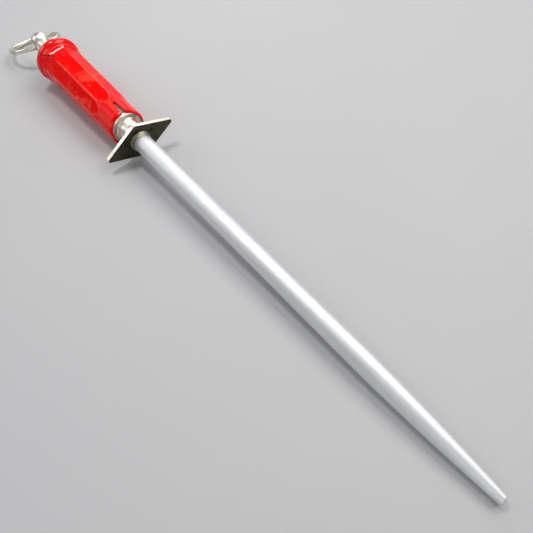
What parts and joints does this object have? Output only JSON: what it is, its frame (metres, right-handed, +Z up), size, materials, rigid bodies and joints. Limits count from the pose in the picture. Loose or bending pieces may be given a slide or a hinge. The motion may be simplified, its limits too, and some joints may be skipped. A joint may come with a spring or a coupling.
{
  "type": "knife sharpening steel",
  "caption": "Round sharpening steel with tapered tip, diamond guard, eight-sided plastic handle and a swivelling ball eye that carries a hanging ring.",
  "frame": {"origin": "middle of the bounding box's base, on the surface the steel lies on", "axes": "+X along the steel towards its tip, +Z up; the steel lies on its pommel rim, its rod's taper and its ring"},
  "size_m": [0.4864, 0.053, 0.0348],
  "materials": {
    "rod_steel": "satin, fine lengthwise cut",
    "nickel_plate": "polished nickel, lightly worn",
    "grey_steel": "dull",
    "red_plastic": "glossy, mottled by wear",
    "washer_brass": "plain"
  },
  "bodies": {
    "steel": {"sharpening_rod": "rod_steel", "front_collar": "nickel_plate", "guard_plate": "nickel_plate", "guard_bolster": "nickel_plate", "ferrule": "nickel_plate", "ferrule_sleeve": "grey_steel", "handle_grip": "red_plastic", "butt_washer": "nickel_plate", "swivel_nut": "nickel_plate", "thrust_washer": "washer_brass"},
    "eye": {"swivel_eye": "nickel_plate"},
    "ring": {"hanging_ring": "nickel_plate"}
  },
  "joints": [
    {"name": "eye_swivel", "type": "hinge", "parent": "steel", "child": "eye", "pos_m": [-0.19357, 0, 0.01804], "axis": [0.9995, 0, -0.0324], "continuous": true},
    {"name": "ring_swing", "type": "hinge", "parent": "eye", "child": "ring", "pos_m": [-0.20366, 0, 0.01837], "axis": [0, 1, 0], "range_deg": [-124, 172]}
  ]
}
